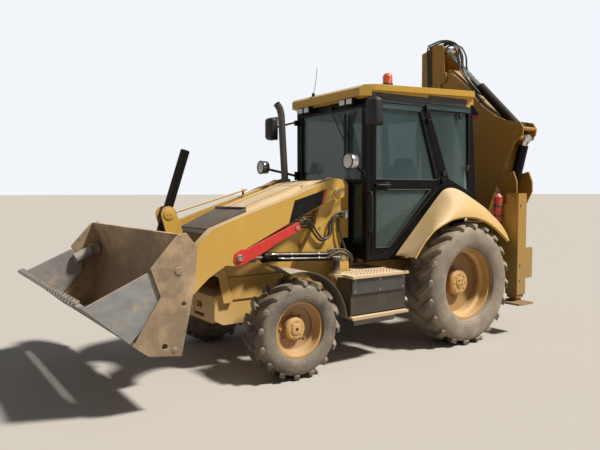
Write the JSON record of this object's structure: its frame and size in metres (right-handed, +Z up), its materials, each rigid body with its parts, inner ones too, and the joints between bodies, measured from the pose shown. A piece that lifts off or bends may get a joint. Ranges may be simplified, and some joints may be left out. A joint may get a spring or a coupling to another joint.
{
  "type": "backhoe loader",
  "caption": "Side-shift backhoe loader with its digging arm folded across the rear, a split front bucket held half raised, and a glazed cab over a black door frame.",
  "frame": {"origin": "middle of the whole machine's box, on the ground", "axes": "+X forward, +Y to the machine's left, +Z up"},
  "size_m": [5.765, 2.284, 3.7],
  "materials": {
    "yellow_paint": "satin, dusty",
    "black_paint": "satin",
    "red_paint": "satin",
    "worn_steel": "worn, dusty",
    "chrome_rod": "polished",
    "dark_iron": "rough",
    "tyre_rubber": "matt, dusty",
    "cab_glass": "clear",
    "inner_plastic": "matt",
    "lamp_plastic": "glossy"
  },
  "bodies": {
    "chassis": {"main_frame": "yellow_paint", "engine": "dark_iron", "front_axle": "yellow_paint", "rear_axle": "yellow_paint", "cab_frame": "black_paint", "cab_roof": "yellow_paint", "cab_glass": "cab_glass", "cab_interior": "inner_plastic", "mirrors": "black_paint", "lamps": "lamp_plastic", "rear_fenders": "yellow_paint", "steps": "black_paint", "rear_frame": "yellow_paint", "extinguisher": "red_paint"},
    "hood": {"hood": "yellow_paint", "exhaust_stack": "dark_iron"},
    "door_left": {"door_left": "black_paint", "door_glass_left": "cab_glass"},
    "door_right": {"door_right": "black_paint", "door_glass_right": "cab_glass"},
    "knuckle_left": {"knuckle_left": "yellow_paint", "front_fender_left": "black_paint"},
    "knuckle_right": {"knuckle_right": "yellow_paint", "front_fender_right": "black_paint"},
    "wheel_front_left": {"rim_front_left": "yellow_paint", "tyre_front_left": "tyre_rubber"},
    "wheel_front_right": {"rim_front_right": "yellow_paint", "tyre_front_right": "tyre_rubber"},
    "wheel_rear_left": {"rim_rear_left": "yellow_paint", "tyre_rear_left": "tyre_rubber"},
    "wheel_rear_right": {"rim_rear_right": "yellow_paint", "tyre_rear_right": "tyre_rubber"},
    "loader": {"loader_arms": "yellow_paint", "arm_lock": "red_paint", "level_rod": "yellow_paint"},
    "lift_barrels": {"lift_barrels": "black_paint"},
    "lift_rods": {"lift_rods": "chrome_rod"},
    "tilt_barrel": {"tilt_barrel": "black_paint"},
    "tilt_rod": {"tilt_rod": "chrome_rod"},
    "bucket": {"bucket_blade": "worn_steel"},
    "jaw": {"bucket_jaw": "worn_steel"},
    "stabiliser_left": {"stabiliser_left": "yellow_paint"},
    "stabiliser_right": {"stabiliser_right": "yellow_paint"},
    "side_shift": {"side_shift": "yellow_paint", "swing_cylinders": "black_paint"},
    "kingpost": {"kingpost": "yellow_paint"},
    "boom": {"boom": "yellow_paint", "boom_pipes": "black_paint"},
    "boom_barrel": {"boom_barrel": "black_paint"},
    "boom_rod": {"boom_rod": "chrome_rod"},
    "stick": {"stick": "yellow_paint", "stick_pipes": "black_paint"},
    "stick_barrel": {"stick_barrel": "black_paint"},
    "stick_rod": {"stick_rod": "chrome_rod"},
    "stick_slide": {"stick_slide": "yellow_paint"},
    "dig_barrel": {"dig_barrel": "black_paint"},
    "dig_rod": {"dig_rod": "chrome_rod"},
    "dig_rocker": {"dig_rocker": "yellow_paint"},
    "dig_link": {"dig_link": "yellow_paint"},
    "dig_bucket": {"dig_bucket": "worn_steel"}
  },
  "joints": [
    {"name": "hood_lid", "type": "hinge", "parent": "chassis", "child": "hood", "pos_m": [1.4725, 0, 1.2], "axis": [0, -1, 0], "range_deg": [-40, 0]},
    {"name": "door_left_hinge", "type": "hinge", "parent": "chassis", "child": "door_left", "pos_m": [-1.14401, 0.70836, 1.735], "axis": [0.3257, -0.0228, 0.9452], "range_deg": [0, 80]},
    {"name": "door_right_hinge", "type": "hinge", "parent": "chassis", "child": "door_right", "pos_m": [-1.14401, -0.70836, 1.735], "axis": [-0.3257, -0.0228, -0.9452], "range_deg": [0, 80]},
    {"name": "steer_left", "type": "hinge", "parent": "chassis", "child": "knuckle_left", "pos_m": [0.9525, 0.64, 0.442], "axis": [0, 0, 1], "range_deg": [-35, 35]},
    {"name": "roll_front_left", "type": "hinge", "parent": "knuckle_left", "child": "wheel_front_left", "pos_m": [0.9525, 0.827, 0.442], "axis": [0, 1, 0], "continuous": true},
    {"name": "roll_rear_left", "type": "hinge", "parent": "chassis", "child": "wheel_rear_left", "pos_m": [-1.2475, 0.832, 0.66], "axis": [0, 1, 0], "continuous": true},
    {"name": "stabiliser_left_slide", "type": "slide", "parent": "chassis", "child": "stabiliser_left", "axis": [0, 0, -1], "range_m": [0, 0.6]},
    {"name": "steer_right", "type": "hinge", "parent": "chassis", "child": "knuckle_right", "pos_m": [0.9525, -0.64, 0.442], "axis": [0, 0, 1], "range_deg": [-35, 35]},
    {"name": "roll_front_right", "type": "hinge", "parent": "knuckle_right", "child": "wheel_front_right", "pos_m": [0.9525, -0.827, 0.442], "axis": [0, 1, 0], "continuous": true},
    {"name": "roll_rear_right", "type": "hinge", "parent": "chassis", "child": "wheel_rear_right", "pos_m": [-1.2475, -0.832, 0.66], "axis": [0, 1, 0], "continuous": true},
    {"name": "stabiliser_right_slide", "type": "slide", "parent": "chassis", "child": "stabiliser_right", "axis": [0, 0, -1], "range_m": [0, 0.6]},
    {"name": "loader_lift", "type": "hinge", "parent": "chassis", "child": "loader", "pos_m": [0.2025, 0, 1.655], "axis": [0, -1, 0], "range_deg": [-10, 76]},
    {"name": "lift_barrel_pivot", "type": "hinge", "parent": "chassis", "child": "lift_barrels", "pos_m": [0.1525, 0, 1.01], "axis": [0, -1, 0], "range_deg": [-8.29, 59.66]},
    {"name": "lift_rod_slide", "type": "slide", "parent": "lift_barrels", "child": "lift_rods", "axis": [0.9987, 0, 0.051], "range_m": [-0.09349, 0.6973]},
    {"name": "bucket_tilt", "type": "hinge", "parent": "loader", "child": "bucket", "pos_m": [2.0025, 0, 0.6], "axis": [0, 1, 0], "range_deg": [0, 120]},
    {"name": "tilt_barrel_pivot", "type": "hinge", "parent": "loader", "child": "tilt_barrel", "pos_m": [1.7925, 0, 1.457], "axis": [0, 1, 0], "range_deg": [-11.89, 0.5]},
    {"name": "tilt_rod_slide", "type": "slide", "parent": "tilt_barrel", "child": "tilt_rod", "axis": [0.3148, 0, -0.9492], "range_m": [-0.002, 0.41729]},
    {"name": "bucket_jaw_hinge", "type": "hinge", "parent": "bucket", "child": "jaw", "pos_m": [2.1585, 0, 1.08], "axis": [0, -1, 0], "range_deg": [0, 50]},
    {"name": "backhoe_side_shift", "type": "slide", "parent": "chassis", "child": "side_shift", "axis": [0, -1, 0], "range_m": [0, 1.1]},
    {"name": "backhoe_swing", "type": "hinge", "parent": "side_shift", "child": "kingpost", "pos_m": [-2.5775, 0.58, 1], "axis": [0, 0, -1], "range_deg": [0, 180]},
    {"name": "boom_lift", "type": "hinge", "parent": "kingpost", "child": "boom", "pos_m": [-2.5775, 0.17, 0.82], "axis": [1, 0, 0], "range_deg": [0, 110]},
    {"name": "boom_barrel_pivot", "type": "hinge", "parent": "kingpost", "child": "boom_barrel", "pos_m": [-2.5775, 0.42, 1.02], "axis": [1, 0, 0], "range_deg": [-0.5, 112.82]},
    {"name": "boom_rod_slide", "type": "slide", "parent": "boom_barrel", "child": "boom_rod", "axis": [0, 0.2417, 0.9704], "range_m": [-0.002, 0.52502]},
    {"name": "stick_fold", "type": "hinge", "parent": "boom", "child": "stick", "pos_m": [-2.5775, -0.458, 3.235], "axis": [-1, 0, 0], "range_deg": [0, 105]},
    {"name": "stick_barrel_pivot", "type": "hinge", "parent": "boom", "child": "stick_barrel", "pos_m": [-2.5775, 0.655, 2.455], "axis": [-1, 0, 0], "range_deg": [-0.5, 5.2]},
    {"name": "stick_rod_slide", "type": "slide", "parent": "stick_barrel", "child": "stick_rod", "axis": [0, -0.7041, 0.7101], "range_m": [-0.61412, 0.002]},
    {"name": "stick_extend", "type": "slide", "parent": "stick", "child": "stick_slide", "axis": [0, 0, -1], "range_m": [0, 1]},
    {"name": "dig_bucket_curl", "type": "hinge", "parent": "stick_slide", "child": "dig_bucket", "pos_m": [-2.5775, -0.83, 1.34], "axis": [-1, 0, 0], "range_deg": [0, 80]},
    {"name": "dig_rocker_pivot", "type": "hinge", "parent": "stick_slide", "child": "dig_rocker", "pos_m": [-2.5775, -0.83, 1.64], "axis": [-1, 0, 0], "range_deg": [0, 62.78]},
    {"name": "dig_link_pivot", "type": "hinge", "parent": "dig_rocker", "child": "dig_link", "pos_m": [-2.5775, -1.093, 1.544], "axis": [-1, 0, 0], "range_deg": [-66.76, 0]},
    {"name": "dig_barrel_pivot", "type": "hinge", "parent": "stick_slide", "child": "dig_barrel", "pos_m": [-2.5775, -0.985, 3.05], "axis": [-1, 0, 0], "range_deg": [-0.84, 0.5]},
    {"name": "dig_rod_slide", "type": "slide", "parent": "dig_barrel", "child": "dig_rod", "axis": [0, -0.0715, -0.9974], "range_m": [-0.29155, 0.002]}
  ],
  "couplings": [
    {"joint": "steer_right", "follows": "steer_left", "ratio": 1},
    {"joint": "lift_barrel_pivot", "follows": "loader_lift", "ratio": 0.77848},
    {"joint": "lift_rod_slide", "follows": "loader_lift", "m_per_rad": 0.52418},
    {"joint": "tilt_barrel_pivot", "follows": "bucket_tilt", "ratio": -0.094938},
    {"joint": "tilt_rod_slide", "follows": "bucket_tilt", "m_per_rad": 0.19829},
    {"joint": "boom_barrel_pivot", "follows": "boom_lift", "ratio": 1.0211},
    {"joint": "boom_rod_slide", "follows": "boom_lift", "m_per_rad": 0.27243},
    {"joint": "stick_barrel_pivot", "follows": "stick_fold", "ratio": 0.044761},
    {"joint": "stick_rod_slide", "follows": "stick_fold", "m_per_rad": -0.33402},
    {"joint": "dig_rocker_pivot", "follows": "dig_bucket_curl", "ratio": 0.77856},
    {"joint": "dig_link_pivot", "follows": "dig_bucket_curl", "ratio": -0.82828},
    {"joint": "dig_barrel_pivot", "follows": "dig_bucket_curl", "ratio": -0.004306},
    {"joint": "dig_rod_slide", "follows": "dig_bucket_curl", "m_per_rad": -0.20738}
  ]
}
